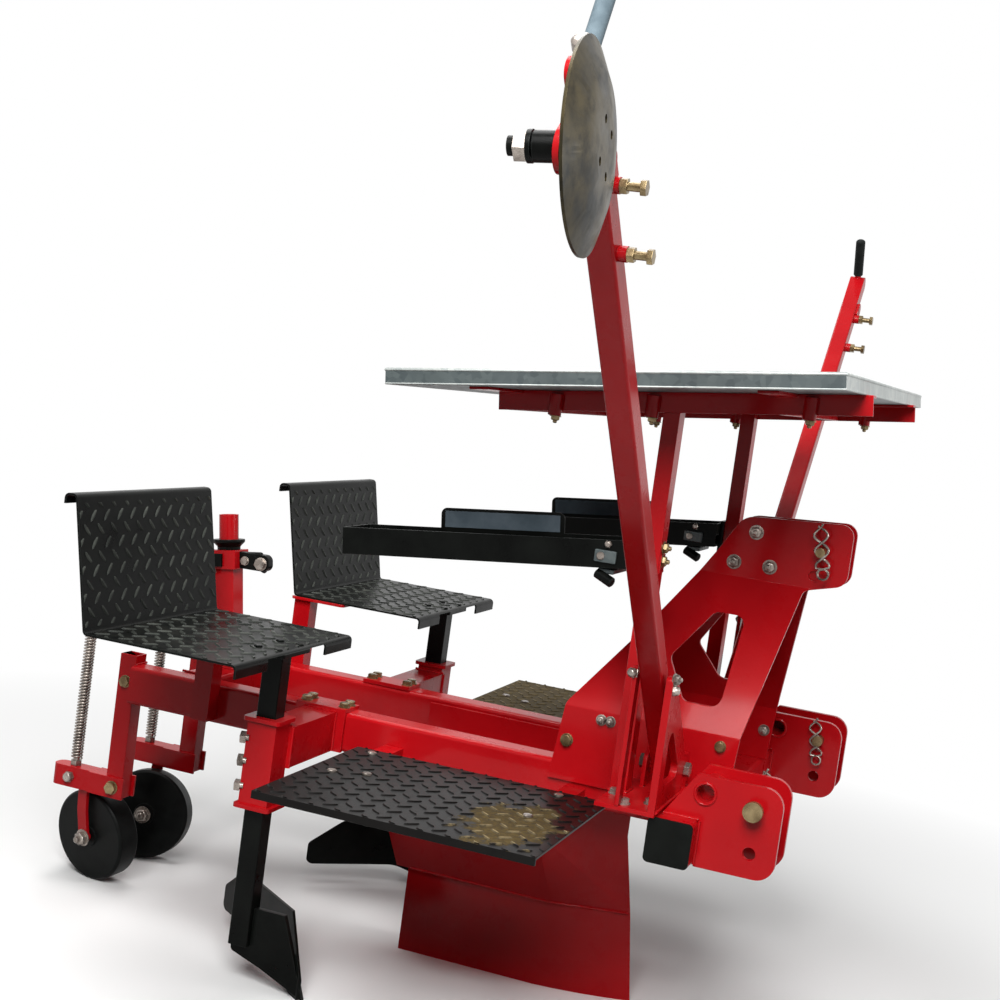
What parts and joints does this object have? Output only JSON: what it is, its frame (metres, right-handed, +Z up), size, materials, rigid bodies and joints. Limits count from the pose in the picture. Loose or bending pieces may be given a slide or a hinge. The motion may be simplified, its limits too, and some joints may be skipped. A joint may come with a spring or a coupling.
{
  "type": "tree planter",
  "caption": "Three-point-mounted tree planter with two seats, opener shoe, covering shares, press wheels, seedling table and folding row markers",
  "frame": {"origin": "middle of the footprint, on the ground", "axes": "+X forward, towards the tractor; +Y to the machine's left; +Z up"},
  "size_m": [1.6512, 2.759, 1.705],
  "materials": {
    "red_enamel": "glossy red enamel over welded steel",
    "black_enamel": "black powder coat",
    "yellow_zinc": "yellow zinc plated steel",
    "bright_zinc": "bright zinc plated steel",
    "galvanised_sheet": "galvanised sheet, dull spangle",
    "black_plastic": "moulded black plastic",
    "grip_rubber": "slate grey rubber",
    "grip_black": "black rubber",
    "disc_steel": "dark oiled steel",
    "press_wheel_rubber": "solid black rubber"
  },
  "bodies": {
    "frame": {"toolbar": "red_enamel", "toolbar_end_caps": "black_plastic", "rails": "red_enamel", "rear_cross_tube": "red_enamel", "headstock_plate_right": "red_enamel", "headstock_plate_left": "red_enamel", "headstock_spacers": "red_enamel", "top_link_pin": "yellow_zinc", "hitch_plates": "red_enamel", "hitch_pins": "yellow_zinc", "opener_shoe": "red_enamel", "shoe_mounts": "red_enamel", "shank_arms": "red_enamel", "shanks": "black_enamel", "share_right": "black_enamel", "share_left": "black_enamel", "seat_right": "black_enamel", "seat_left": "black_enamel", "seat_posts": "red_enamel", "footplates": "black_enamel", "footplate_bearers": "red_enamel", "depth_post": "red_enamel", "depth_clamp": "red_enamel", "depth_lever": "black_enamel", "wheel_yoke": "red_enamel", "wheel_legs": "red_enamel", "wheel_carriers": "red_enamel", "spring_rods": "bright_zinc", "table_tray": "galvanised_sheet", "table_frame": "red_enamel", "table_legs": "red_enamel", "seedling_trays": "black_enamel", "tray_brackets": "black_enamel", "marker_brackets": "red_enamel", "marker_pins": "bright_zinc"},
    "marker_right": {"marker_arm_right": "red_enamel", "marker_clamps_right": "yellow_zinc"},
    "marker_left": {"marker_arm_left": "red_enamel", "marker_clamps_left": "yellow_zinc"},
    "bar_right": {"marker_bar_right": "red_enamel", "marker_grip_right": "grip_rubber"},
    "bar_left": {"marker_bar_left": "red_enamel", "marker_grip_left": "grip_black"},
    "disc": {"marker_disc": "disc_steel"},
    "wheel_right": {"press_wheel_right": "press_wheel_rubber"},
    "wheel_left": {"press_wheel_left": "press_wheel_rubber"}
  },
  "joints": [
    {"name": "marker_swing_right", "type": "hinge", "parent": "frame", "child": "marker_right", "pos_m": [0.53625, -0.15678, 0.548], "axis": [1, 0, 0], "range_deg": [0, 48]},
    {"name": "marker_swing_left", "type": "hinge", "parent": "frame", "child": "marker_left", "pos_m": [0.53625, 0.35322, 0.548], "axis": [-1, 0, 0], "range_deg": [0, 48]},
    {"name": "marker_reach_right", "type": "slide", "parent": "marker_right", "child": "bar_right", "axis": [0, -0.7009, 0.7133], "range_m": [-0.025, 0.28]},
    {"name": "marker_reach_left", "type": "slide", "parent": "marker_left", "child": "bar_left", "axis": [0, 0.7009, 0.7133], "range_m": [0, 0.3]},
    {"name": "marker_disc_spin", "type": "hinge", "parent": "bar_right", "child": "disc", "pos_m": [0.53625, -1.25594, 1.48959], "axis": [0.9945, 0.0746, 0.0733], "continuous": true},
    {"name": "press_wheel_spin_right", "type": "hinge", "parent": "frame", "child": "wheel_right", "pos_m": [-0.72325, -0.00378, 0.10199], "axis": [0.2383, 0.9628, 0.1271], "continuous": true},
    {"name": "press_wheel_spin_left", "type": "hinge", "parent": "frame", "child": "wheel_left", "pos_m": [-0.72325, 0.20022, 0.10199], "axis": [-0.2383, 0.9628, -0.1271], "continuous": true}
  ]
}
